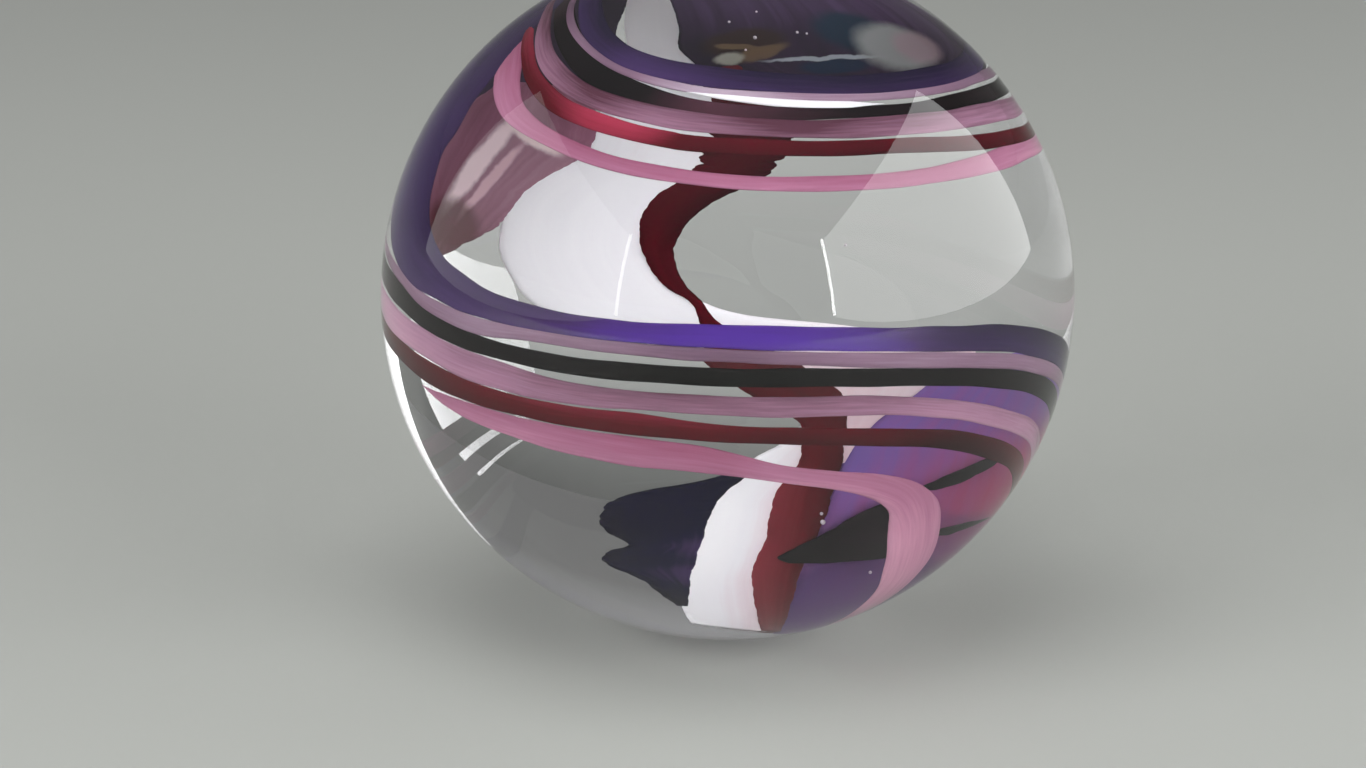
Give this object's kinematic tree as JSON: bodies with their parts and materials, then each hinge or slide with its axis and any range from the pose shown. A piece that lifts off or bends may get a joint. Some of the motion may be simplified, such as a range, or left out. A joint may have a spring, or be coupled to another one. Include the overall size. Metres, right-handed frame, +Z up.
{
  "type": "glass marble",
  "caption": "Solid round clear glass ball with coloured lines wound just under its surface and a twisted opaque ribbon inside.",
  "frame": {"origin": "centre of the ball", "axes": "+Z up, along the line that the ribbon is twisted about; the side with the hairpin turn of the lines faces -Y"},
  "size_m": [0.038, 0.038, 0.038],
  "materials": {
    "clear_glass": "fire-polished, smooth and glossy, with a very faint violet-grey tint",
    "white_glass": "opaque opal white, streaked where it was pulled and twisted",
    "dark_red_glass": "opaque oxblood red, streaked darker and lighter along its length",
    "navy_glass": "near-black blue violet with a feathered edge",
    "purple_glass": "dense violet line",
    "mauve_glass": "milky mauve line",
    "black_glass": "dense black line",
    "pink_glass": "milky rose pink line"
  },
  "bodies": {
    "root": {"marble": "clear_glass"}
  },
  "joints": []
}
